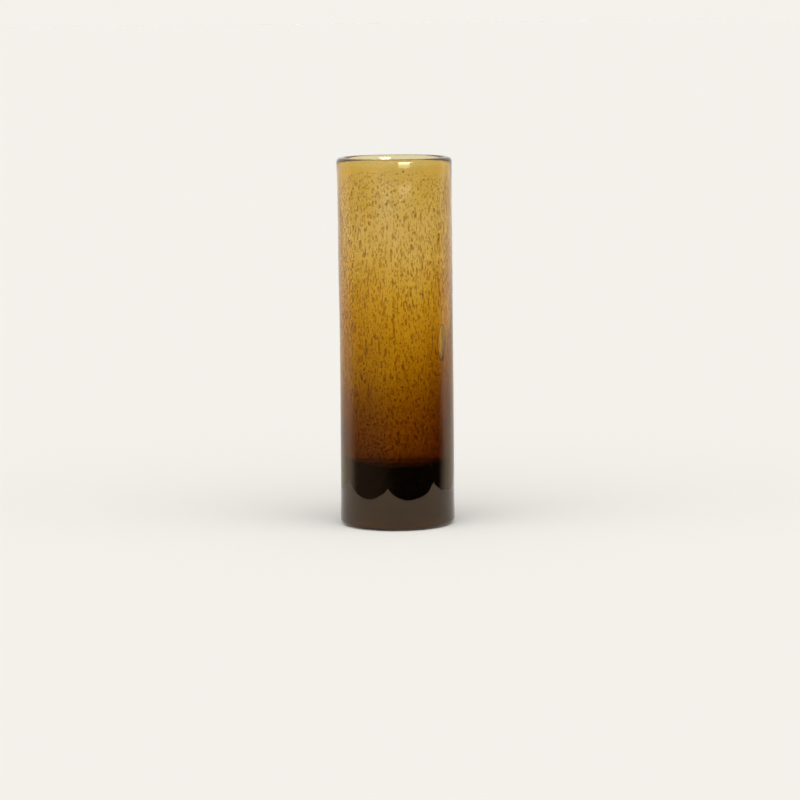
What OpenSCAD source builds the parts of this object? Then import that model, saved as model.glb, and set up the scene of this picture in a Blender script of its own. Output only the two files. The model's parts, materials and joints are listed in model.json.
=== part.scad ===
// Hand-blown glass bud vase: a straight, thick-walled tube on a solid base.
// It is built as the glassmaker gathers it, from the inside out. The first gather carries the amber
// colour, the second traps the seeds (small bubbles), and the third is a clear casing that is drawn
// over the lip. Each gather is one closed solid that meets the next face to face.
// Origin: centre of the foot, on the resting plane. +Z runs up the tube, and -Y is the front.

/* [Overall] */
// Height from the resting plane to the top of the lip
height = 240; // [200:1:300]
// Outside diameter just above the heel
outer_d = 75; // [62:0.5:92]
// How much narrower the tube is at its waist, on diameter
waist_in = 0.6; // [0:0.1:3]
// Height of the waist above the resting plane
waist_z = 120; // [95:1:150]
// How much wider the tube is just below the lip, on diameter
lip_out = 0.6; // [0:0.1:3]
// Radius of the rounded heel
heel_r = 4; // [1:0.5:8]

/* [Cavity] */
// Thickness of the glass wall at the waist
wall_t = 8.7; // [7:0.1:10.5]
// Thickness of the glass at the fire-polished lip
lip_t = 6.2; // [5:0.1:7.5]
// Thickness of the solid base below the cavity
base_t = 37; // [28:1:45]
// Radius of the rounded bottom edge of the cavity
floor_r = 9; // [5:1:20]
// Length over which the cavity opens out to the lip
flare_l = 40; // [20:1:50]

/* [Amber gather] */
// Thickness of the amber glass in the upper wall
amber_top_t = 0.9; // [0.5:0.1:1.5]
// Thickness of the amber glass at the height where it fades
amber_fade_t = 3.1; // [1.5:0.1:4]
// Height at which the amber glass has thinned
amber_fade_z = 97; // [80:1:120]
// Height up to which the amber glass nearly fills the wall
amber_full_z = 55; // [40:1:70]
// Radius of the rounded lower edge of the amber glass
amber_heel_r = 8; // [4:1:16]

/* [Seeded gather] */
// Thickness of the seeded glass around and below the amber base
seeded_base_t = 0.8; // [0.5:0.1:1.5]
// Radius of the rounded lower edge of the seeded glass
seeded_heel_r = 6; // [3:1:12]

/* [Clear casing] */
// Thickness of the casing around the tube
casing_t = 2; // [1.7:0.1:2.6]
// Thickness of the casing under the base
foot_t = 2.2; // [2:0.1:5]

/* [Pontil dish] */
// Diameter of the dish ground into the foot where the pontil iron was
pontil_d = 30; // [20:1:40]
// Depth of the dish at its centre
pontil_depth = 1.4; // [0.5:0.1:1.6]

/* [Blister] */
// Length of the long bubble trapped under the casing
blister_l = 24; // [10:1:30]
// Greatest diameter of the long bubble
blister_d = 3; // [1:0.1:3.2]
// Height of its middle above the resting plane
blister_z = 121; // [80:1:160]
// Its direction from the front, turning towards +X
blister_turn = 55; // [0:1:359]

/* [Hidden] */
$fn = 128;

heel_rad = outer_d / 2;
waist_rad = heel_rad - waist_in / 2;
lip_rad = heel_rad + lip_out / 2;

// Centre of the round lip bead
bead_r = lip_t / 2;
bead_z = height - bead_r;

cavity_rad = waist_rad - wall_t;
mouth_rad = lip_rad - lip_t;
flare_z = bead_z - flare_l;

// Underside of each gather
seeded_z = foot_t;
amber_z = foot_t + seeded_base_t;

// The blister is centred on the face between the seeded glass and the casing
blister_rad = outer_rad(blister_z) - casing_t;

// Straight stretches from the middle of the blister's outline to either tip
blister_steps = 6;

// The pontil dish is the cap of a sphere of this radius
dish_r = (pow(pontil_d / 2, 2) + pow(pontil_depth, 2)) / (2 * pontil_depth);

function between(low, high, share) = low + (high - low) * share;

// Outside radius of the vase at a height
function outer_rad(z) =
    z < waist_z
    ? between(heel_rad, waist_rad, (z - heel_r) / (waist_z - heel_r))
    : between(waist_rad, lip_rad, (z - waist_z) / (bead_z - waist_z));

// Outside radius of the seeded gather, and of the amber base, at a height
function seeded_rad(z) = outer_rad(z) - casing_t;
function amber_base_rad(z) = seeded_rad(z) - seeded_base_t;

// Half section of a solid of glass: a foot at bottom_z that turns up through a round edge into
// the points of its side, which run from the lowest to the highest.
module gather_section(bottom_z, edge_r, side) {
    edge_x = side[0][0] - edge_r;
    polygon(concat(
        [[0, bottom_z], [edge_x, bottom_z], [edge_x, bottom_z + edge_r]],
        side,
        [[0, bead_z]]
    ));
    translate([edge_x, bottom_z + edge_r])
        intersection() {
            circle(edge_r);
            translate([0, -edge_r]) square(edge_r);
        }
}

module vase_section() {
    gather_section(0, heel_r, [
        [heel_rad, heel_r],
        [waist_rad, waist_z],
        [lip_rad, bead_z]
    ]);
}

module seeded_section() {
    edge_z = seeded_z + seeded_heel_r;
    gather_section(seeded_z, seeded_heel_r, [
        [seeded_rad(edge_z), edge_z],
        [seeded_rad(waist_z), waist_z],
        [seeded_rad(bead_z), bead_z]
    ]);
}

module amber_section() {
    edge_z = amber_z + amber_heel_r;
    gather_section(amber_z, amber_heel_r, [
        [amber_base_rad(edge_z), edge_z],
        [amber_base_rad(amber_full_z), amber_full_z],
        [cavity_rad + amber_fade_t, amber_fade_z],
        [cavity_rad + amber_top_t, flare_z],
        [mouth_rad + amber_top_t, bead_z]
    ]);
}

// Half section of the hollow, carried on past the lip so that it cuts right through
module cavity_section() {
    floor_x = cavity_rad - floor_r;
    polygon([
        [0, base_t],
        [floor_x, base_t],
        [floor_x, base_t + floor_r],
        [cavity_rad, base_t + floor_r],
        [cavity_rad, flare_z],
        [mouth_rad, bead_z],
        [mouth_rad, height + bead_r],
        [0, height + bead_r]
    ]);
    translate([floor_x, base_t + floor_r])
        intersection() {
            circle(floor_r);
            translate([0, -floor_r]) square(floor_r);
        }
}

// Upper half of the round bead that closes the lip
module lip_section() {
    translate([lip_rad - bead_r, bead_z])
        intersection() {
            circle(bead_r);
            translate([-bead_r, 0]) square([lip_t, bead_r]);
        }
}

// Long oval void that stands upright on the face between the two outer gathers
module blister() {
    rotate([0, 0, blister_turn])
        translate([0, -blister_rad, blister_z])
            rotate_extrude()
                polygon([
                    for (step = [-blister_steps:blister_steps])
                        let (angle = 90 * step / blister_steps)
                            [blister_d / 2 * cos(angle), blister_l / 2 * sin(angle)]
                ]);
}

module pontil_dish() {
    translate([0, 0, pontil_depth - dish_r]) sphere(dish_r);
}

module amber_gather() {
    color("darkorange")
        rotate_extrude()
            difference() {
                amber_section();
                cavity_section();
            }
}

module seeded_gather() {
    color("khaki")
        difference() {
            rotate_extrude()
                difference() {
                    seeded_section();
                    amber_section();
                    cavity_section();
                }
            blister();
        }
}

module clear_casing() {
    color("lightcyan")
        difference() {
            rotate_extrude() {
                difference() {
                    vase_section();
                    seeded_section();
                    cavity_section();
                }
                lip_section();
            }
            blister();
            pontil_dish();
        }
}

amber_gather();
seeded_gather();
clear_casing();
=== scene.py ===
"""Looks of the hand-blown glass bud vase: clear casing, seeds, amber heart, stage and light.

The vase is one body of glass. Its outside and its hollow are one closed surface. The amber heart
lies inside that as a body of the same refractive index that only takes light away, so the colour
deepens with its thickness. A cast on the outside, set by height and place, gives the rest of the
colour. The seeds are small closed bubbles in the wall.
"""

import json
import logging
import math
import random
from collections.abc import Callable, Sequence
from dataclasses import dataclass, field
from enum import Enum

import bpy
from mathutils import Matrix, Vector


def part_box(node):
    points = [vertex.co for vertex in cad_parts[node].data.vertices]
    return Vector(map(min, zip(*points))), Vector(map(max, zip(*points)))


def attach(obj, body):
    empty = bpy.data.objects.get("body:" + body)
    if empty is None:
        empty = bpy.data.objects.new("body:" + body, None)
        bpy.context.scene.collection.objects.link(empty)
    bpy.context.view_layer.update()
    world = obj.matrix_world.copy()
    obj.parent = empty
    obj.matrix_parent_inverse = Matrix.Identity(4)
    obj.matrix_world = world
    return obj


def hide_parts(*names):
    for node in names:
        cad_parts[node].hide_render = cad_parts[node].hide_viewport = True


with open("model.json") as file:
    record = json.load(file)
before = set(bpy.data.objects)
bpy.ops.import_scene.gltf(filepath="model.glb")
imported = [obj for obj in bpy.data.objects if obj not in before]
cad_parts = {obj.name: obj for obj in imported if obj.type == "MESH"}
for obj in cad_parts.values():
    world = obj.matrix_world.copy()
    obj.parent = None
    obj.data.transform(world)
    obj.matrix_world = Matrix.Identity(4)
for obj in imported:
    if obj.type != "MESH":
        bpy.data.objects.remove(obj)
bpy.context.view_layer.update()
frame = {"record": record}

log = logging.getLogger("vase")

MM = 0.001
Point = tuple[float, float]
Colour = tuple[float, float, float]
WHITE = (1.0, 1.0, 1.0, 1.0)


# Nodes


class Value:
    """A node's output, with arithmetic that adds Math nodes to its tree."""

    def __init__(self, graph: "Graph", socket: bpy.types.NodeSocket) -> None:
        """Wraps one output socket of a graph."""
        self.graph = graph
        self.socket = socket

    def _maths(self, operation: str, first: "Operand", second: "Operand" = 0.0) -> "Value":
        """Adds one Math node.

        Args:
            operation: The node's operation.
            first: Its first operand.
            second: Its second operand.

        Returns:
            The node's result.
        """
        return self.graph.add("ShaderNodeMath", {"operation": operation}, {0: first, 1: second})

    def __add__(self, other: "Operand") -> "Value":
        """Sum."""
        return self._maths("ADD", self, other)

    def __radd__(self, other: "Operand") -> "Value":
        """Sum, reflected."""
        return self._maths("ADD", other, self)

    def __sub__(self, other: "Operand") -> "Value":
        """Difference."""
        return self._maths("SUBTRACT", self, other)

    def __rsub__(self, other: "Operand") -> "Value":
        """Difference, reflected."""
        return self._maths("SUBTRACT", other, self)

    def __mul__(self, other: "Operand") -> "Value":
        """Product."""
        return self._maths("MULTIPLY", self, other)

    def __rmul__(self, other: "Operand") -> "Value":
        """Product, reflected."""
        return self._maths("MULTIPLY", other, self)

    def __truediv__(self, other: "Operand") -> "Value":
        """Quotient."""
        return self._maths("DIVIDE", self, other)

    def __pow__(self, other: "Operand") -> "Value":
        """Power."""
        return self._maths("POWER", self, other)

    def __mod__(self, other: "Operand") -> "Value":
        """Remainder."""
        return self._maths("MODULO", self, other)

    def whole(self) -> "Value":
        """The whole part."""
        return self._maths("FLOOR", self)

    def sine(self) -> "Value":
        """Sine of an angle in radians."""
        return self._maths("SINE", self)

    def cosine(self) -> "Value":
        """Cosine of an angle in radians."""
        return self._maths("COSINE", self)

    def least(self, other: "Operand") -> "Value":
        """The smaller of two values."""
        return self._maths("MINIMUM", self, other)

    def above(self, other: "Operand") -> "Value":
        """1 where this is greater than the other, and 0 elsewhere."""
        return self._maths("GREATER_THAN", self, other)

    def ramp(self, low: float, high: float, at_low: float = 0.0, at_high: float = 1.0) -> "Value":
        """Turns smoothly from one value to another.

        Args:
            low: Input at which the turn starts.
            high: Input at which it ends.
            at_low: Result up to low.
            at_high: Result from high on.

        Returns:
            The smooth result.
        """
        return self.graph.add(
            "ShaderNodeMapRange",
            {"interpolation_type": "SMOOTHSTEP"},
            {"Value": self, "From Min": low, "From Max": high, "To Min": at_low, "To Max": at_high},
        )


Operand = Value | float | int | tuple


class Graph:
    """A node tree that is filled by one method."""

    def __init__(self, tree: bpy.types.NodeTree) -> None:
        """Takes a tree and empties it."""
        self.tree = tree
        tree.nodes.clear()

    def add(
        self,
        kind: str,
        settings: dict[str, object] | None = None,
        inputs: dict[str | int, Operand] | None = None,
        output: str | int = 0,
    ) -> Value:
        """Adds a node.

        Args:
            kind: The node's type.
            settings: Its properties, which are set before its sockets are filled.
            inputs: A value or a link for each input socket, by name or place.
            output: The output socket to return, by name or place.

        Returns:
            The chosen output, or the node's first input where it has no output.
        """
        node = self.tree.nodes.new(kind)
        for name, setting in (settings or {}).items():
            setattr(node, name, setting)
        for key, value in (inputs or {}).items():
            socket = self._socket(node.inputs, key)
            if isinstance(value, Value):
                self.tree.links.new(value.socket, socket)
            else:
                socket.default_value = value
        chosen = self._socket(node.outputs, output) if len(node.outputs) else node.inputs[0]
        return Value(self, chosen)

    @staticmethod
    def _socket(sockets: bpy.types.bpy_prop_collection, key: str | int) -> bpy.types.NodeSocket:
        """Finds a socket.

        Args:
            sockets: A node's inputs or outputs.
            key: The socket's name or place.

        Returns:
            The visible socket of that name, or the socket at that place.
        """
        if isinstance(key, int):
            return sockets[key]
        named = [socket for socket in sockets if socket.name == key]
        return next((socket for socket in named if socket.enabled), named[0])

    def out(self, value: Value, output: str | int) -> Value:
        """Another output of the node that a value comes from."""
        return Value(self, self._socket(value.socket.node.outputs, output))

    def mix_colours(self, share: Operand, first: Operand, second: Operand) -> Value:
        """Blends two colours by a share of the second."""
        return self.add("ShaderNodeMix", {"data_type": "RGBA"}, {0: share, 6: first, 7: second}, 2)

    def vector(self, operation: str, first: Operand, second: Operand) -> Value:
        """Adds one Vector Math node, and returns the vector."""
        return self.add("ShaderNodeVectorMath", {"operation": operation}, {0: first, 1: second})

    def length(self, vector: Operand) -> Value:
        """Length of a vector."""
        return self.add("ShaderNodeVectorMath", {"operation": "LENGTH"}, {0: vector}, "Value")

    def scaled(self, colour: Operand, share: Operand) -> Value:
        """Makes a colour brighter or darker."""
        inputs = {0: colour, "Scale": share}
        return self.add("ShaderNodeVectorMath", {"operation": "SCALE"}, inputs)


# Finishes


class Slot(Enum):
    """The record's material slots."""

    AMBER = "amber_glass"
    SEEDED = "seeded_glass"
    CLEAR = "clear_glass"


GLASS_IOR = 1.52


@dataclass(frozen=True)
class CasingFinish:
    """Fire-polished glass, faintly rippled, with a warm cast outside that deepens downwards.

    Attributes:
        cast_top: Cast of the outside below the lip.
        cast_middle: Cast of the outside in the middle.
        cast_base: Cast of the outside near the foot.
        base_height: Height up to which the cast is that of the base.
        middle_height: Height at which it is that of the middle.
        top_height: Height from which it is that of the top.
        overlap: How far below the middle's height the turn to the top starts.
        cast_lip: Cast of the lip.
        lip_height: Height from which the cast is that of the lip.
        lip_turn: Height over which it turns to that of the lip.
        streak: What the darker streaks low on both sides leave of the cast.
        streak_low: Height up to which the streaks are at their darkest.
        streak_high: Height at which they end.
        left_streak: Where across the front the left streak is darkest, and where it ends.
        right_streak: Where the right streak starts, and where it is darkest.
        right_share: Darkness of the right streak as a share of the left one's.
        blister_cast: Cast over the blister, which leaves little coloured glass.
        blister_place: Middle of the blister's outline on the outside.
        blister_reach: Half the width and half the length of that outline.
        blister_edge: Share of the outline at which its cast begins to fade.
        outside_radius: Radius that parts the outside from the hollow.
        ripple: Size of the surface ripples.
        ripple_depth: Bump distance of the ripples.
        ripple_squeeze: Share of their upright size at which the ripples are read.
        foot_height: Height of the worn edge of the foot.
        foot_roughness: Roughness of the worn foot.
        sheen: Tint of what the glass mirrors head-on, more than real glass where it is over 1.
    """

    cast_top: Colour = (0.88, 0.665, 0.45)
    cast_middle: Colour = (0.85, 0.545, 0.14)
    cast_base: Colour = (0.55, 0.35, 0.07)
    base_height: float = 45 * MM
    middle_height: float = 140 * MM
    top_height: float = 200 * MM
    overlap: float = 10 * MM
    cast_lip: Colour = (0.92, 0.87, 0.98)
    lip_height: float = 237 * MM
    lip_turn: float = 3 * MM
    streak: Colour = (0.72, 0.68, 0.55)
    streak_low: float = 55 * MM
    streak_high: float = 165 * MM
    left_streak: Point = (-24 * MM, 4 * MM)
    right_streak: Point = (16 * MM, 30 * MM)
    right_share: float = 0.5
    blister_cast: Colour = (1.0, 0.85, 0.45)
    blister_place: Colour = (30.7 * MM, -21.5 * MM, 122 * MM)
    blister_reach: Point = (4.4 * MM, 12 * MM)
    blister_edge: float = 0.8
    outside_radius: float = 33.5 * MM
    ripple: float = 9 * MM
    ripple_depth: float = 0.038 * MM
    ripple_squeeze: float = 0.3
    foot_height: float = 0.35 * MM
    foot_roughness: float = 0.22
    sheen: Colour = (1.5, 1.05, 0.7)

    def _cast(self, graph: "Graph", place: "Value", height: "Value") -> "Value":
        """Colours the outside by height, and leaves the hollow clear.

        Args:
            graph: The material's nodes.
            place: Object coordinates.
            height: Height above the foot.

        Returns:
            The colour.
        """
        lower = graph.mix_colours(
            height.ramp(self.base_height, self.middle_height),
            (*self.cast_base, 1),
            (*self.cast_middle, 1),
        )
        wall = graph.mix_colours(
            height.ramp(self.middle_height - self.overlap, self.top_height),
            lower,
            (*self.cast_top, 1),
        )
        across = graph.add("ShaderNodeSeparateXYZ", None, {0: place}, "X")
        left = across.ramp(*self.left_streak, 1.0, 0.0)
        streaks = left + across.ramp(*self.right_streak, 0.0, self.right_share)
        streaks = streaks * height.ramp(self.streak_low, self.streak_high, 1.0, 0.0)
        shade = graph.mix_colours(streaks, WHITE, (*self.streak, 1))
        cast = graph.mix_colours(
            height.ramp(self.lip_height - self.lip_turn, self.lip_height),
            graph.vector("MULTIPLY", wall, shade),
            (*self.cast_lip, 1),
        )
        wide, long = (1 / reach for reach in self.blister_reach)
        from_blister = graph.vector("SUBTRACT", place, self.blister_place)
        share = graph.length(graph.vector("MULTIPLY", from_blister, (wide, wide, long)))
        near = share.ramp(self.blister_edge, 1.0, 1.0, 0.0)
        cast = graph.mix_colours(near, cast, (*self.blister_cast, 1))
        radius = graph.length(graph.vector("MULTIPLY", place, (1, 1, 0)))
        return graph.mix_colours(radius.above(self.outside_radius), WHITE, cast)

    def material(self) -> bpy.types.Material:
        """Builds the material.

        Returns:
            The material.
        """
        material, graph = new_material("clear casing glass")
        place = graph.add("ShaderNodeTexCoord", output="Object")
        height = graph.add("ShaderNodeSeparateXYZ", None, {0: place}, "Z")
        squeeze = (1.0, 1.0, self.ripple_squeeze)
        long = graph.add("ShaderNodeMapping", None, {0: place, "Scale": squeeze})
        wave = graph.add(
            "ShaderNodeTexNoise",
            None,
            {"Vector": long, "Scale": 1 / self.ripple, "Detail": 2.0, "Roughness": 0.4},
        )
        bump = graph.add(
            "ShaderNodeBump", None, {"Height": wave, "Distance": self.ripple_depth, "Strength": 1.0}
        )
        glass = graph.add(
            "ShaderNodeBsdfPrincipled",
            None,
            {
                "Base Color": self._cast(graph, place, height),
                "Roughness": height.ramp(0.0, self.foot_height, self.foot_roughness, 0.0),
                "Normal": bump,
                "IOR": GLASS_IOR,
                "Transmission Weight": 1.0,
                "Specular Tint": (*self.sheen, 1),
            },
        )
        graph.add("ShaderNodeOutputMaterial", None, {0: glass})
        return material


@dataclass(frozen=True)
class AmberFinish:
    """Amber glass inside the clear glass: no surface of its own, only colour by thickness.

    Attributes:
        absorbs: Rate at which a millimetre takes away red, green and blue light.
        headroom: How far the volume's density lies above the greatest rate.
    """

    absorbs: Colour = (0.115, 0.2, 0.75)
    headroom: float = 1.05

    def material(self) -> bpy.types.Material:
        """Builds the material.

        Returns:
            The material.
        """
        material, graph = new_material("amber glass")
        density = max(self.absorbs) / MM * self.headroom
        kept = tuple(1 - rate / MM / density for rate in self.absorbs)
        graph.add(
            "ShaderNodeOutputMaterial",
            None,
            {
                "Surface": graph.add(
                    "ShaderNodeBsdfPrincipled",
                    None,
                    {
                        "Base Color": WHITE,
                        "Roughness": 0.0,
                        "IOR": 1.0,
                        "Transmission Weight": 1.0,
                    },
                ),
                "Volume": graph.add(
                    "ShaderNodeVolumeAbsorption", None, {"Color": (*kept, 1), "Density": density}
                ),
            },
        )
        return material


@dataclass(frozen=True)
class GasFinish:
    """The skin of a bubble, where glass gives way to gas.

    Attributes:
        tint: Colour that the skin lends to what passes it, where real gas lends none.
    """

    tint: Colour = (0.98, 0.9, 0.76)

    def material(self) -> bpy.types.Material:
        """Builds the material."""
        skin = {"Color": (*self.tint, 1), "Roughness": 0.0, "IOR": 1 / GLASS_IOR}
        return one_shader("gas in glass", "ShaderNodeBsdfGlass", skin)


@dataclass(frozen=True)
class HighlightBeadFinish:
    """Stand-in for a bright round bubble: an opaque pale bead, not gas, whose pale colour is a
    painted highlight in place of the light that a bubble's skin mirrors.

    Attributes:
        colour: Its pale colour, a painted highlight.
        roughness: Roughness of its skin.
    """

    # Pale colour: a painted highlight in place of what a gas bubble's skin mirrors.
    colour: Colour = (1.0, 0.86, 0.58)
    roughness: float = 0.3

    def material(self) -> bpy.types.Material:
        """Builds the material."""
        bead = {"Base Color": (*self.colour, 1), "Roughness": self.roughness}
        return one_shader("pale bead", "ShaderNodeBsdfPrincipled", bead)


@dataclass(frozen=True)
class BoardFinish:
    """Matt off-white board under the vase.

    Attributes:
        colour: Colour of the board.
    """

    colour: Colour = (0.91, 0.885, 0.84)

    def material(self) -> bpy.types.Material:
        """Builds the material."""
        paint = {"Color": (*self.colour, 1)}
        return one_shader("off-white board", "ShaderNodeBsdfDiffuse", paint)


def new_material(name: str) -> tuple[bpy.types.Material, Graph]:
    """Makes an empty material.

    Args:
        name: Its name.

    Returns:
        The material and its node graph.
    """
    material = bpy.data.materials.new(name)
    material.use_nodes = True
    return material, Graph(material.node_tree)


def one_shader(name: str, shader: str, inputs: dict[str | int, Operand]) -> bpy.types.Material:
    """Makes a material of a single shader node.

    Args:
        name: Its name.
        shader: The node's type.
        inputs: The node's inputs.

    Returns:
        The material.
    """
    material, graph = new_material(name)
    graph.add("ShaderNodeOutputMaterial", None, {0: graph.add(shader, None, inputs)})
    return material


# Modelling


def deselect() -> None:
    """Leaves nothing selected."""
    if bpy.context.object is not None and bpy.context.object.mode != "OBJECT":
        bpy.ops.object.mode_set(mode="OBJECT")
    bpy.ops.object.select_all(action="DESELECT")


def made(name: str) -> bpy.types.Object:
    """Names the piece that was just added.

    Args:
        name: The new name.

    Returns:
        The active object.
    """
    piece = bpy.context.object
    piece.name = name
    piece.data.name = name
    return piece


SWAY = 0.33 * MM
SWAY_HEIGHT = 190 * MM
TOP_SWAY = 0.25 * MM


def lean(height: float) -> float:
    """How far the vase strays from its upright axis at a height."""
    return SWAY * math.sin(math.pi * height / SWAY_HEIGHT)


def draw_tube(name: str, outline: Sequence[Point], segments: int) -> bpy.types.Object:
    """Pulls a closed round shape from a ring, with one extrusion for each point of an outline.

    Args:
        name: Name of the piece.
        outline: Radius and height of each ring, from the axis back to the axis.
        segments: Number of sides of each ring.

    Returns:
        The piece, which follows the lean of the vase.
    """
    deselect()
    radius, height = outline[0]
    aside = lean(height)
    bpy.ops.mesh.primitive_circle_add(vertices=segments, radius=radius, location=(aside, 0, height))
    piece = made(name)
    bpy.ops.object.transform_apply(location=True)
    bpy.ops.object.mode_set(mode="EDIT")
    bpy.ops.mesh.select_all(action="SELECT")
    for new_radius, new_height in outline[1:]:
        new_aside, widen = lean(new_height), new_radius / radius
        bpy.ops.mesh.extrude_region_move(
            TRANSFORM_OT_translate={"value": (new_aside - aside, 0, new_height - height)}
        )
        bpy.ops.transform.resize(
            value=(widen, widen, 1), center_override=(new_aside, 0, new_height)
        )
        radius, height, aside = new_radius, new_height, new_aside
    bpy.ops.mesh.edge_face_add()
    bpy.ops.mesh.select_all(action="DESELECT")
    bpy.ops.mesh.select_non_manifold()
    bpy.ops.mesh.edge_face_add()
    bpy.ops.mesh.select_all(action="SELECT")
    bpy.ops.mesh.normals_make_consistent(inside=False)
    bpy.ops.object.mode_set(mode="OBJECT")
    bpy.ops.object.shade_smooth()
    return piece


def arc(centre: Point, radius: float, start: float, end: float, steps: int) -> list[Point]:
    """Points along an arc.

    Args:
        centre: Centre of the arc, as radius and height.
        radius: Radius of the arc.
        start: Angle of the first point, in degrees from outwards, turning upwards.
        end: Angle of the last point.
        steps: Number of stretches.

    Returns:
        The points.
    """
    angles = [math.radians(start + (end - start) * step / steps) for step in range(steps + 1)]
    return [
        (centre[0] + radius * math.cos(angle), centre[1] + radius * math.sin(angle))
        for angle in angles
    ]


def walk(outline: Sequence[Point], longest: float) -> list[Point]:
    """Splits the long stretches of an outline.

    Args:
        outline: The outline's own points.
        longest: Longest stretch to leave whole.

    Returns:
        The outline with points added along its straight stretches.
    """
    points = [outline[0]]
    for (x0, y0), (x1, y1) in zip(outline, outline[1:]):
        parts = max(1, math.ceil(math.hypot(x1 - x0, y1 - y0) / longest))
        points += [
            (x0 + (x1 - x0) * part / parts, y0 + (y1 - y0) * part / parts)
            for part in range(1, parts + 1)
        ]
    return points


def group(piece: bpy.types.Object, name: str, share: Callable[[float, float], float]) -> None:
    """Weights a piece's points by their distance from its axis and their height.

    Args:
        piece: The piece.
        name: Name of the vertex group.
        share: Gives the weight for a radius and a height.
    """
    weights = piece.vertex_groups.new(name=name)
    for vertex in piece.data.vertices:
        weight = share(math.hypot(vertex.co.x, vertex.co.y), vertex.co.z)
        if weight > 0:
            weights.add([vertex.index], weight, "REPLACE")


def displace(piece: bpy.types.Object, weights: str, settings: dict[str, object]) -> None:
    """Displaces part of a piece, and applies that at once.

    Args:
        piece: The piece.
        weights: The vertex group that limits it.
        settings: The displacement's settings.
    """
    bpy.ops.object.select_all(action="DESELECT")
    bpy.context.view_layer.objects.active = piece
    piece.select_set(True)
    bpy.ops.object.modifier_add(type="DISPLACE")
    modifier = piece.modifiers[-1]
    modifier.vertex_group = weights
    for name, setting in settings.items():
        setattr(modifier, name, setting)
    bpy.ops.object.modifier_apply(modifier=modifier.name)


@dataclass(frozen=True)
class Ripple:
    """An unevenness left in hot glass.

    Attributes:
        width: Size of the noise across the piece.
        stretch: How many times longer it is along the piece.
        depth: Greatest height of the unevenness.
        level: The noise value that leaves the surface where it is, from 0 to 1.
        shift: Moves the noise, so that two ripples differ.
    """

    width: float
    stretch: float
    depth: float
    level: float = 0.5
    shift: float = 0.0

    def press(self, piece: bpy.types.Object, weights: str) -> None:
        """Presses the ripple into a piece.

        Args:
            piece: The piece.
            weights: The vertex group that limits it.
        """
        deselect()
        noise = bpy.data.textures.new("ripple", "CLOUDS")
        noise.noise_scale = self.width
        noise.noise_depth = 1
        bpy.ops.object.empty_add(location=(self.shift, self.shift, self.shift))
        guide = bpy.context.object
        guide.scale = (1, 1, self.stretch)
        bpy.context.view_layer.update()
        settings = {
            "texture": noise,
            "texture_coords": "OBJECT",
            "texture_coords_object": guide,
            "strength": self.depth,
            "mid_level": self.level,
        }
        displace(piece, weights, settings)
        bpy.data.objects.remove(guide)


def shift_aside(piece: bpy.types.Object, weights: str, distance: float) -> None:
    """Shifts part of a piece towards +X.

    Args:
        piece: The piece.
        weights: The vertex group that is shifted.
        distance: How far it goes.
    """
    deselect()
    displace(piece, weights, {"direction": "X", "strength": distance, "mid_level": 0.0})


# The vase


NEAR_AXIS = 0.4 * MM
DISH_RINGS = 6
HEEL_STEPS = 8
LIP_STEPS = 14
FLOOR_STEPS = 10


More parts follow.
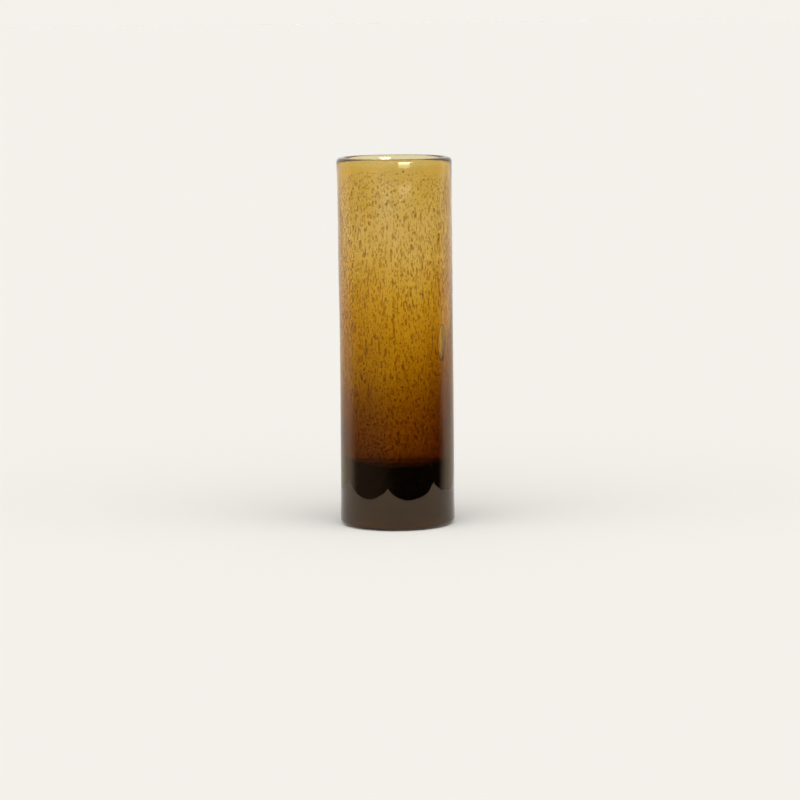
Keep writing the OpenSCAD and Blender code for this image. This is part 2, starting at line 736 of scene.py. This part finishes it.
@dataclass
class VaseShape:
    """Sizes that the pieces share, taken from the frame where it has them.

    Attributes:
        waist_in: How much narrower the waist is than the heel, on radius.
        waist_height: Height of the waist.
        heel: Radius of the rounded heel.
        lip: Thickness of the lip.
        floor_edge: Radius of the rounded edge of the hollow's floor.
        dish: Radius of the ground dish in the foot.
        dish_depth: Depth of the dish.
        ring_step: Longest stretch of wall between two rings.
        segments: Number of sides of each ring.
        lip_fade: Length over which unevenness dies away at the lip and the heel.
        floor_margin: How far below the hollow's floor its weights still reach.
    """

    waist_in: float = 0.3 * MM
    waist_height: float = 120 * MM
    heel: float = 4 * MM
    lip: float = 6.2 * MM
    floor_edge: float = 9 * MM
    dish: float = 15 * MM
    dish_depth: float = 1.4 * MM
    ring_step: float = 3 * MM
    segments: int = 128
    lip_fade: float = 12 * MM
    floor_margin: float = 1 * MM
    height: float = field(init=False)
    lip_radius: float = field(init=False)
    heel_radius: float = field(init=False)
    bore_radius: float = field(init=False)
    bore_bottom: float = field(init=False)
    bore_top: float = field(init=False)

    def __post_init__(self) -> None:
        """Reads the driving sizes from the frame."""
        low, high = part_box("clear_casing")
        mounts = {mount["name"]: mount for mount in frame["record"]["mounts"]}
        bore = mounts["cavity"]
        self.height = high[2]
        self.lip_radius = min(high[0], -low[0]) - TOP_SWAY
        self.heel_radius = self.lip_radius
        self.bore_radius = bore["dims"]["r_mm"] * MM
        half = bore["dims"]["length_mm"] * MM / 2
        self.bore_bottom = bore["pos_m"][2] - half
        self.bore_top = bore["pos_m"][2] + half

    @property
    def bead(self) -> float:
        """Radius of the round lip."""
        return self.lip / 2

    @property
    def bead_height(self) -> float:
        """Height of the middle of the round lip."""
        return self.height - self.bead

    @property
    def mouth_radius(self) -> float:
        """Radius of the hollow at the lip."""
        return self.lip_radius - self.lip

    @property
    def floor_height(self) -> float:
        """Height of the hollow's floor."""
        return self.bore_bottom - self.floor_edge

    def below_lip(self, height: float) -> float:
        """Weight that dies away at the lip."""
        return min(1.0, max(0.0, (self.bead_height - height) / self.lip_fade))

    def hollow_radius(self, height: float) -> float:
        """Finds how wide the hollow is above its rounded floor.

        Args:
            height: Height above the foot.

        Returns:
            The radius of the hollow.
        """
        share = (height - self.bore_top) / (self.bead_height - self.bore_top)
        flare = self.mouth_radius - self.bore_radius
        return self.bore_radius + flare * min(1.0, max(0.0, share))

    def outside(self) -> list[Point]:
        """Draws the outline of the outside.

        Returns:
            The outline from the middle of the foot up to the lip.
        """
        dish = [
            (self.dish * part / DISH_RINGS, self.dish_depth * (1 - (part / DISH_RINGS) ** 2))
            for part in range(1, DISH_RINGS + 1)
        ]
        heel = arc((self.heel_radius - self.heel, self.heel), self.heel, -90, 0, HEEL_STEPS)
        return [
            (NEAR_AXIS, self.dish_depth),
            *dish,
            *heel,
            (self.heel_radius - self.waist_in, self.waist_height),
            (self.lip_radius, self.bead_height),
        ]

    def lip_over(self) -> list[Point]:
        """The outline over the lip, from outside to inside."""
        centre = (self.lip_radius - self.bead, self.bead_height)
        return arc(centre, self.bead, 0, 180, LIP_STEPS)

    def inside(self, skin: float = 0.0) -> list[Point]:
        """The outline of the hollow.

        Args:
            skin: How far outside the hollow's wall the outline runs.

        Returns:
            The outline from the lip down to the middle of the floor.
        """
        edge = self.floor_edge + skin
        corner = (self.bore_radius - self.floor_edge, self.bore_bottom)
        return [
            (self.mouth_radius + skin, self.bead_height),
            (self.bore_radius + skin, self.bore_top),
            (self.bore_radius + skin, self.bore_bottom),
            *arc(corner, edge, 0, -90, FLOOR_STEPS)[1:],
            (NEAR_AXIS, self.floor_height - skin),
        ]


HOLLOW_RIPPLES = (Ripple(16 * MM, 3.5, 0.9 * MM), Ripple(6 * MM, 5, 0.25 * MM, shift=0.3))


@dataclass
class ClearCasing:
    """The body of clear glass: its outside, lip and hollow as one closed surface.

    Attributes:
        shape: Sizes of the vase.
        finish: Its finish.
        skin_ripples: Unevenness of the outside.
    """

    shape: VaseShape
    finish: CasingFinish = CasingFinish()
    skin_ripples: tuple[Ripple, ...] = (
        Ripple(22 * MM, 3, 0.35 * MM, level=1.0),
        Ripple(9 * MM, 5, 0.08 * MM, level=1.0, shift=0.2),
    )

    def build(self) -> bpy.types.Object:
        """Builds the glass.

        Returns:
            The piece.
        """
        shape = self.shape
        corners = [*shape.outside(), *shape.lip_over()[1:], *shape.inside()[1:]]
        piece = draw_tube("clear_glass_body", walk(corners, shape.ring_step), shape.segments)
        divide = (shape.bore_radius + shape.heel_radius) / 2

        def on_skin(radius: float, height: float) -> float:
            """Weight of the outside ripples, which die away at the heel and the lip."""
            low = min(1.0, max(0.0, (height - shape.heel) / shape.lip_fade))
            return low * shape.below_lip(height) if radius >= divide else 0.0

        def in_hollow(radius: float, height: float) -> float:
            """Weight of the ripples of the hollow, which die away at the lip."""
            inside = radius <= divide and height >= shape.floor_height - shape.floor_margin
            return shape.below_lip(height) if inside else 0.0

        group(piece, "skin", on_skin)
        group(piece, "hollow", in_hollow)
        for ripple in self.skin_ripples:
            ripple.press(piece, "skin")
        for ripple in HOLLOW_RIPPLES:
            ripple.press(piece, "hollow")
        piece.data.materials.append(self.finish.material())
        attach(piece, "root")
        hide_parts("clear_casing")
        return piece


@dataclass
class AmberHeart:
    """The coloured glass: a solid base that thins up the wall into a lining.

    Attributes:
        shape: Sizes of the vase.
        finish: Its finish.
        skin: Clear glass left between the lining and the hollow.
        base_height: Height of its underside.
        base_radius: Radius of its solid base.
        base_edge: Radius of the rounded lower edge.
        full_height: Height up to which it fills the wall.
        thickness: Height and thickness of the lining, from the lowest to the highest.
        lip_thickness: Clear glass left outside it in the lip.
        lip_angle: Angle at which it ends in the lip, in degrees from outwards.
        lip_steps: Number of stretches of its outer and its inner side in the lip.
        cloud: Unevenness of its outer side.
        lining_reach: How far outside the hollow its inner side is looked for.
        outer_reach: How far outside the hollow its outer side starts.
        drift: How far the colour strays towards +X, low in the wall.
        drift_low: Height up to which it strays all the way.
        drift_high: Height at which it strays no more.
        drift_start: Height at which it starts to stray.
        drift_rise: Height over which that takes full effect.
    """

    shape: VaseShape
    finish: AmberFinish = AmberFinish()
    skin: float = 0.08 * MM
    base_height: float = 2.6 * MM
    base_radius: float = 34.7 * MM
    base_edge: float = 6 * MM
    full_height: float = 50 * MM
    thickness: tuple[Point, ...] = (
        (70 * MM, 5.0 * MM),
        (97 * MM, 2.9 * MM),
        (123 * MM, 1.95 * MM),
        (150 * MM, 1.4 * MM),
        (177 * MM, 1.05 * MM),
        (197 * MM, 0.9 * MM),
    )
    lip_thickness: float = 1.1 * MM
    lip_angle: float = 80
    lip_steps: tuple[int, int] = (6, 10)
    cloud: Ripple = Ripple(13 * MM, 1.6, 0.4 * MM, shift=0.7)
    lining_reach: float = 0.35 * MM
    outer_reach: float = 0.5 * MM
    drift: float = 1.0 * MM
    drift_low: float = 95 * MM
    drift_high: float = 135 * MM
    drift_start: float = 20 * MM
    drift_rise: float = 20 * MM

    def build(self) -> bpy.types.Object:
        """Builds the amber glass.

        Returns:
            The piece.
        """
        shape = self.shape
        edge = (self.base_radius - self.base_edge, self.base_height + self.base_edge)
        bead = (shape.lip_radius - shape.bead, shape.bead_height)
        outer, inner = shape.bead - self.lip_thickness, shape.bead - self.skin
        outline = walk(
            [
                (NEAR_AXIS, self.base_height),
                *arc(edge, self.base_edge, -90, 0, HEEL_STEPS),
                (self.base_radius, self.full_height),
                *[(shape.bore_radius + thick, height) for height, thick in self.thickness],
                *arc(bead, outer, 180, self.lip_angle, self.lip_steps[0]),
                *arc(bead, inner, self.lip_angle, 180, self.lip_steps[1]),
                *shape.inside(self.skin)[1:],
            ],
            shape.ring_step,
        )
        piece = draw_tube("amber_heart", outline, shape.segments)

        lowest = shape.floor_height - shape.floor_margin

        def is_outer(radius: float, height: float) -> bool:
            """Whether a point lies on the outer side."""
            return radius >= shape.hollow_radius(height) + self.outer_reach

        def in_hollow(radius: float, height: float) -> float:
            """Weight of the hollow's own ripples, which the lining follows."""
            near = radius <= shape.hollow_radius(height) + self.lining_reach
            return shape.below_lip(height) if near and height >= lowest else 0.0

        def on_cloud(radius: float, height: float) -> float:
            """Weight of the unevenness of the outer side of the lining."""
            uneven = is_outer(radius, height) and height >= self.full_height
            return shape.below_lip(height) if uneven else 0.0

        def on_drift(radius: float, height: float) -> float:
            """Weighs the drift of the coloured glass to one side, low in the wall.

            Args:
                radius: Distance from the axis.
                height: Height above the foot.

            Returns:
                The weight.
            """
            if not is_outer(radius, height) or height < self.drift_start:
                return 0.0
            above = (height - self.drift_low) / (self.drift_high - self.drift_low)
            below = (height - self.drift_start) / self.drift_rise
            return max(0.0, min(1.0, 1.0 - above, below))

        group(piece, "hollow", in_hollow)
        group(piece, "cloud", on_cloud)
        group(piece, "drift", on_drift)
        for ripple in HOLLOW_RIPPLES:
            ripple.press(piece, "hollow")
        self.cloud.press(piece, "cloud")
        shift_aside(piece, "drift", self.drift)
        piece.data.materials.append(self.finish.material())
        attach(piece, "root")
        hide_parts("amber_gather")
        return piece


SEEDS_FROM = 22 * MM
SEEDS_BELOW_LIP = 13 * MM


@dataclass
class Seeds:
    """Small bubbles in the wall, each drawn long by the blowing.

    Attributes:
        shape: Sizes of the vase.
        name: Name of the piece.
        finish: Their material.
        random: Start of their random numbers.
        depth: Where in the wall they lie, from -1 near the hollow to 1 near the outside.
        reach: Lowest and highest seed.
        width: Least and greatest width.
        spacing: Side of the field that each seed has to itself.
        longest: Greatest length, in widths.
        rounder: Greatest length under the lip, in widths.
        shortest: Least length, in widths.
        room: Half the depth of the wall that they fill, in the bore and at the lip.
        lip_zone: Distances below the lip over which they grow round.
        low_zone: Heights over which they come to their full length.
        low_drawn: Share of their length low in the wall.
        width_power: How much rarer the wide ones are.
        length_power: How much rarer the long ones are.
        lean: How far each may lean, in radians.
    """

    shape: VaseShape
    name: str
    finish: bpy.types.Material
    random: int
    depth: Point
    reach: Point
    width: Point = (0.45 * MM, 1.2 * MM)
    spacing: float = 3.85 * MM
    longest: float = 5.5
    rounder: float = 1.3
    shortest: float = 1.2
    room: Point = (3.1 * MM, 1.8 * MM)
    lip_zone: Point = (45 * MM, 12 * MM)
    low_zone: Point = (60 * MM, 130 * MM)
    low_drawn: float = 0.6
    width_power: float = 2.0
    length_power: float = 1.3
    lean: float = 0.12

    def _strew(self) -> bpy.types.NodeTree:
        """Lays out the nodes that strew copies of one seed, each anywhere in its own field.

        Returns:
            The node tree.
        """
        shape = self.shape
        tree = bpy.data.node_groups.new(self.name, "GeometryNodeTree")
        for way in ("INPUT", "OUTPUT"):
            tree.interface.new_socket("Geometry", in_out=way, socket_type="NodeSocketGeometry")
        graph = Graph(tree)

        def chance(low: float, high: float, draw: int) -> Value:
            """A random number for each seed, from a draw of its own."""
            inputs = {"Min": low, "Max": high, "Seed": self.random + draw}
            return graph.add("FunctionNodeRandomValue", {"data_type": "FLOAT"}, inputs, "Value")

        low, high = self.reach
        middle = (shape.bore_radius + shape.heel_radius) / 2
        columns = round(math.tau * middle / self.spacing)
        rows = round((high - low) / self.spacing)
        index = graph.add("GeometryNodeInputIndex")
        turn = (index % columns + chance(0.0, 1.0, 6)) * (math.tau / columns)
        row = (index / columns + 0.5 / columns).whole()
        height = (row + chance(0.0, 1.0, 7)) * ((high - low) / rows) + low
        upper_middle = (shape.mouth_radius + shape.heel_radius) / 2
        bed = height.ramp(shape.bore_top, shape.bead_height, middle, upper_middle)
        room = height.ramp(shape.bore_top, shape.bead_height, *self.room)
        out = bed + chance(*self.depth, 1) * room
        aside = (height * (math.pi / SWAY_HEIGHT)).sine() * SWAY
        place = graph.add(
            "ShaderNodeCombineXYZ",
            None,
            {"X": out * turn.sine() + aside, "Y": out * turn.cosine(), "Z": height},
        )
        points = graph.add("GeometryNodePoints", None, {"Count": columns * rows, "Position": place})

        zone_low, zone_high = (shape.height - below for below in self.lip_zone)
        high_drawn = height.ramp(zone_low, zone_high, self.longest, self.rounder)
        drawn = high_drawn * height.ramp(*self.low_zone, self.low_drawn, 1.0)
        thin, thick = self.width
        width = thin + (thick - thin) * chance(0.0, 1.0, 2) ** self.width_power
        length = self.shortest + (drawn - self.shortest) * chance(0.0, 1.0, 3) ** self.length_power
        size = graph.add(
            "ShaderNodeCombineXYZ", None, {"X": width, "Y": width, "Z": width * length}
        )
        tilt = graph.add(
            "ShaderNodeCombineXYZ",
            None,
            {"X": chance(-self.lean, self.lean, 4), "Y": chance(-self.lean, self.lean, 5)},
        )
        seed = graph.add("NodeGroupInput")
        strewn = graph.add(
            "GeometryNodeInstanceOnPoints",
            None,
            {"Points": points, "Instance": seed, "Rotation": tilt, "Scale": size},
        )
        real = graph.add("GeometryNodeRealizeInstances", None, {"Geometry": strewn})
        graph.add("NodeGroupOutput", None, {0: real})
        return tree

    def build(self) -> bpy.types.Object:
        """Models one round seed of unit diameter, and strews copies of it.

        Returns:
            The piece.
        """
        deselect()
        bpy.ops.mesh.primitive_uv_sphere_add(segments=7, ring_count=5, radius=0.5)
        piece = made(self.name)
        bpy.ops.object.shade_smooth()
        bpy.ops.object.modifier_add(type="NODES")
        modifier = piece.modifiers[-1]
        modifier.node_group = self._strew()
        bpy.ops.object.modifier_apply(modifier=modifier.name)
        piece.data.materials.clear()
        piece.data.materials.append(self.finish)
        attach(piece, "root")
        return piece


@dataclass(frozen=True)
class Bubble:
    """One larger bubble.

    Attributes:
        turn: Where it lies round the vase, in degrees from the front towards the right.
        height: Height of its middle.
        out: Distance of its middle from the axis.
        width: Its width round the vase.
        deep: Its depth through the wall.
        length: Its length.
        tilt: How far it leans, in degrees.
    """

    turn: float
    height: float
    out: float
    width: float
    deep: float
    length: float
    tilt: float = 0.0


LONG_BUBBLES = (
    Bubble(55, 121 * MM, 34.7 * MM, 9.0 * MM, 3.0 * MM, 24 * MM, 3),
    Bubble(-3, 212 * MM, 35.2 * MM, 1.3 * MM, 1.0 * MM, 3.6 * MM),
    Bubble(28, 173 * MM, 34.6 * MM, 1.2 * MM, 0.9 * MM, 9.5 * MM, -3),
    Bubble(27, 65 * MM, 35.0 * MM, 1.2 * MM, 0.9 * MM, 7.0 * MM, -3),
    Bubble(0, 71 * MM, 35.0 * MM, 1.5 * MM, 1.2 * MM, 3.2 * MM),
    Bubble(-33, 118 * MM, 35.6 * MM, 1.0 * MM, 0.8 * MM, 13 * MM, 1),
    Bubble(-27, 92 * MM, 35.4 * MM, 0.9 * MM, 0.8 * MM, 8 * MM, 1),
    Bubble(36, 43 * MM, 35.2 * MM, 1.2 * MM, 0.9 * MM, 2.6 * MM),
    Bubble(12, 38 * MM, 35.3 * MM, 1.1 * MM, 0.9 * MM, 2.2 * MM),
    Bubble(-18, 33 * MM, 35.4 * MM, 0.8 * MM, 0.7 * MM, 6.0 * MM, 35),
)


# Sizes and distances in millimetres, turns in degrees, and lengths in widths
BEAD_SIZE = (0.9, 1.7)
BEAD_TURN = (2, 62)
BEAD_BELOW_LIP = (7, 25)
BEAD_UNDER_SKIN = (1.3, 2.2)
BEAD_LENGTH = (1.0, 1.25)


def round_bubbles(shape: VaseShape, count: int = 22, start: int = 11) -> tuple[Bubble, ...]:
    """Strews round bubbles under the front left of the lip.

    Args:
        shape: Sizes of the vase.
        count: How many there are.
        start: Start of their random numbers.

    Returns:
        The bubbles.
    """
    chance = random.Random(start)
    found = []
    for _ in range(count):
        size = chance.uniform(*BEAD_SIZE) * MM
        bubble = Bubble(
            turn=-chance.uniform(*BEAD_TURN),
            height=shape.height - chance.uniform(*BEAD_BELOW_LIP) * MM,
            out=shape.lip_radius - chance.uniform(*BEAD_UNDER_SKIN) * MM,
            width=size,
            deep=size,
            length=size * chance.uniform(*BEAD_LENGTH),
        )
        found.append(bubble)
    return tuple(found)


@dataclass
class Bubbles:
    """Larger bubbles, modelled as one piece.

    Attributes:
        name: Name of the piece.
        finish: Their material.
        bubbles: Where they lie, and their sizes.
    """

    name: str
    finish: bpy.types.Material
    bubbles: tuple[Bubble, ...]

    def build(self) -> bpy.types.Object:
        """Builds the bubbles.

        Returns:
            The piece.
        """
        deselect()
        bpy.ops.mesh.primitive_uv_sphere_add(segments=16, ring_count=12, radius=0.5)
        pattern = made("bubble")
        bpy.ops.object.shade_smooth()
        copies = []
        for bubble in self.bubbles:
            deselect()
            pattern.select_set(True)
            bpy.context.view_layer.objects.active = pattern
            bpy.ops.object.duplicate()
            copy = bpy.context.object
            turn = math.radians(bubble.turn)
            copy.scale = (bubble.width, bubble.deep, bubble.length)
            copy.rotation_euler = (0, math.radians(bubble.tilt), turn)
            copy.location = (
                bubble.out * math.sin(turn) + lean(bubble.height),
                -bubble.out * math.cos(turn),
                bubble.height,
            )
            bpy.ops.object.transform_apply(location=True, rotation=True, scale=True)
            copies.append(copy)
        bpy.data.objects.remove(pattern)
        deselect()
        for copy in copies:
            copy.select_set(True)
        bpy.context.view_layer.objects.active = copies[0]
        bpy.ops.object.join()
        piece = made(self.name)
        piece.data.materials.clear()
        piece.data.materials.append(self.finish)
        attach(piece, "root")
        return piece


# Stage


@dataclass
class Stage:
    """A small pale board under the vase, and a pale floor round it.

    Attributes:
        board: Side of the board.
        floor: Side of the floor, which the glass doesn't mirror.
        turn: How far both are turned.
        gap: Air under the foot, which doesn't touch the paint all over.
    """

    board: float = 0.341
    floor: float = 120.0
    turn: float = math.radians(26.7)
    gap: float = 0.05 * MM

    def _square(self, name: str, side: float) -> bpy.types.Object:
        """Lays one turned square on the ground.

        Args:
            name: Its name.
            side: Its side.

        Returns:
            The square.
        """
        deselect()
        bpy.ops.mesh.primitive_plane_add(
            size=side, location=(0, 0, -self.gap), rotation=(0, 0, self.turn)
        )
        square = made(name)
        bpy.ops.object.transform_apply(location=True, rotation=True)
        return square

    def build(self) -> None:
        """Lays the board, and the floor with a hole that fits it."""
        material = BoardFinish().material()
        board = self._square("board", self.board)
        floor = self._square("floor", self.floor)
        bpy.ops.object.mode_set(mode="EDIT")
        bpy.ops.mesh.select_all(action="SELECT")
        bpy.ops.mesh.inset(thickness=(self.floor - self.board) / 2)
        bpy.ops.mesh.delete(type="FACE")
        bpy.ops.object.mode_set(mode="OBJECT")
        floor.visible_glossy = False
        for ground in (board, floor):
            ground.data.materials.append(material)


@dataclass
class Studio:
    """Plain soft light from a pale surround, and another surround that only mirrored light sees.

    The mirrored one has a window and darker sides, and changes again inside the glass. It isn't one
    room that all the light shares.

    Attributes:
        pale: Colour of the surround.
        glow_front: Brightness of what lights the floor from the front.
        glow_back: Brightness of what lights the floor from the back.
        low_left: Colour mirrored inside the glass from low down on the left of the back.
        low_right: Colour mirrored inside the glass from low down on the right of the back.
        high_left: Colour mirrored inside the glass from higher up on the left.
        high_right: Colour mirrored inside the glass from higher up on the right.
        skin_sides: Colour that the skin mirrors from low down on both sides.
        front_left: Brightness that the skin mirrors from the front left.
        front_right: Brightness that the skin mirrors from the front right.
        window: Colour of the window at the front right.
        window_foot: Share of its brightness that its lower edge has.
        window_bounces: Longest path on which it is seen.
        inner_bounces: Shortest path that counts as mirrored inside the glass.

    The other fields are spans of direction, within which one part of the surround turns smoothly
    into the next: along the back, at the horizon, round the front and at the window's four edges.
    """

    pale: Colour = (0.91, 0.885, 0.84)
    glow_front: float = 1.75
    glow_back: float = 0.41
    low_left: Colour = (0.6, 0.65, 0.64)
    low_right: Colour = (0.5, 0.38, 0.22)
    high_left: Colour = (0.66, 0.68, 0.8)
    high_right: Colour = (0.8, 0.75, 0.78)
    skin_sides: Colour = (0.8, 0.72, 0.6)
    front_left: float = 0.19
    front_right: float = 0.03
    window: Colour = (12.0, 16.0, 18.0)
    window_foot: float = 0.25
    window_bounces: float = 3.5
    inner_bounces: float = 2.5
    turned: Point = (-0.3, 0.5)
    horizon: Point = (-0.11, -0.085)
    front_turn: Point = (-0.85, 0.05)
    front_ahead: Point = (0.0, 0.45)
    front_up: Point = (0.25, 0.7)
    pane_left: Point = (0.12, 0.17)
    pane_right: Point = (0.48, 0.56)
    pane_ahead: Point = (-0.6, -0.4)
    pane_foot: Point = (-0.07, -0.045)
    pane_rise: Point = (0.0, 0.12)
    glow_turn: Point = (-0.6, 0.4)

    def build(self) -> None:
        """Sets up the surround."""
        world = bpy.data.worlds.new("studio")
        bpy.context.scene.world = world
        world.use_nodes = True
        world.cycles.sampling_method = "NONE"
        graph = Graph(world.node_tree)
        path = graph.add("ShaderNodeLightPath", output="Ray Depth")
        scattered = graph.out(path, "Diffuse Depth").least(1.0)
        mirrored = graph.out(path, "Glossy Depth").least(1.0)
        within = path.above(self.inner_bounces)

        way = graph.add("ShaderNodeTexCoord", output="Generated")
        across = graph.add("ShaderNodeSeparateXYZ", None, {0: way}, "X")
        ahead = graph.out(across, "Y")
        up = graph.out(across, "Z")
        turned = across.ramp(*self.turned)
        low = graph.mix_colours(turned, (*self.low_left, 1), (*self.low_right, 1))
        high = graph.mix_colours(turned, (*self.high_left, 1), (*self.high_right, 1))
        level = up.ramp(*self.horizon)
        inner = graph.mix_colours(level, low, high)
        skin = graph.mix_colours(level, (*self.skin_sides, 1), (*self.pale, 1))
        back = graph.mix_colours(within, skin, inner)
        front = across.ramp(*self.front_turn, self.front_left, self.front_right)
        shade = (1.0 - ahead.ramp(*self.front_ahead)) * (1.0 - up.ramp(*self.front_up))
        room = graph.scaled(back, 1.0 - (1.0 - front) * shade)

        pane = (
            across.ramp(*self.pane_left)
            * across.ramp(*self.pane_right, 1.0, 0.0)
            * ahead.ramp(*self.pane_ahead, 1.0, 0.0)
            * up.ramp(*self.pane_foot)
            * up.ramp(*self.pane_rise, self.window_foot, 1.0)
            * (1.0 - path.above(self.window_bounces))
        )
        all_room = graph.vector("ADD", room, graph.scaled(self.window, pane))
        seen = graph.mix_colours(mirrored, (*self.pale, 1), all_room)
        glow = graph.scaled(
            WHITE[:3], ahead.ramp(*self.glow_turn, self.glow_front, self.glow_back)
        )
        lit = graph.mix_colours(scattered, seen, glow)
        background = graph.add("ShaderNodeBackground", None, {0: lit})
        graph.add("ShaderNodeOutputWorld", None, {0: background})


@dataclass
class Viewpoint:
    """The camera, somewhat above the lip and looking slightly down.

    Attributes:
        place: Where it stands.
        pitch: How far it looks down, in degrees.
        roll: How far it is rolled, in degrees.
        lens: Focal length in millimetres.
    """

    place: tuple[float, float, float] = (0.0022, -2.0008, 0.3358)
    pitch: float = 7.256
    roll: float = -0.55
    lens: float = 138.6

    def build(self) -> None:
        """Adds the camera."""
        deselect()
        bpy.ops.object.camera_add(location=self.place)
        camera = made("camera")
        camera.data.lens = self.lens
        camera.data.sensor_width = 36.0
        camera.data.clip_end = 100.0
        tilt = math.radians(90 - self.pitch)
        camera.rotation_mode = "XYZ"
        camera.rotation_euler = (tilt, 0.0, 0.0)
        camera.rotation_euler.rotate_axis("Z", math.radians(self.roll))
        bpy.context.scene.camera = camera


def light_paths() -> None:
    """Lets light pass through enough glass and bubbles, and shows colours as they are."""
    scene = bpy.context.scene
    scene.cycles.max_bounces = 48
    scene.cycles.transmission_bounces = 48
    scene.cycles.glossy_bounces = 24
    scene.cycles.transparent_max_bounces = 32
    scene.cycles.use_denoising = True
    scene.view_settings.view_transform = "Standard"


def main() -> None:
    """Builds the vase and its stage."""
    logging.basicConfig(level=logging.INFO, format="%(message)s")
    light_paths()
    Viewpoint().build()
    shape = VaseShape()
    casing = ClearCasing(shape).build()
    log.info("%s: %d faces", casing.name, len(casing.data.polygons))
    amber = AmberHeart(shape).build()
    log.info("%s: %d faces", amber.name, len(amber.data.polygons))
    gas = GasFinish().material()
    reach = (SEEDS_FROM, shape.height - SEEDS_BELOW_LIP)
    layers = (("inner_seeds", 7, (-1.0, -0.1)), ("outer_seeds", 23, (0.1, 1.0)))
    inner, outer = (
        Seeds(shape, name, gas, random=start, depth=depth, reach=reach).build()
        for name, start, depth in layers
    )
    clear_gas = GasFinish((0.99, 0.98, 0.95)).material()
    long = Bubbles("long_bubbles", clear_gas, LONG_BUBBLES).build()
    # The round bubbles under the lip are pale beads whose colour is a painted highlight, not gas.
    beads = Bubbles("lip_bubbles", HighlightBeadFinish().material(), round_bubbles(shape)).build()
    for piece in (inner, outer, long, beads):
        log.info("%s: %d faces", piece.name, len(piece.data.polygons))
    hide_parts("seeded_gather")
    Stage().build()
    Studio().build()


if __name__ == "__main__":
    main()
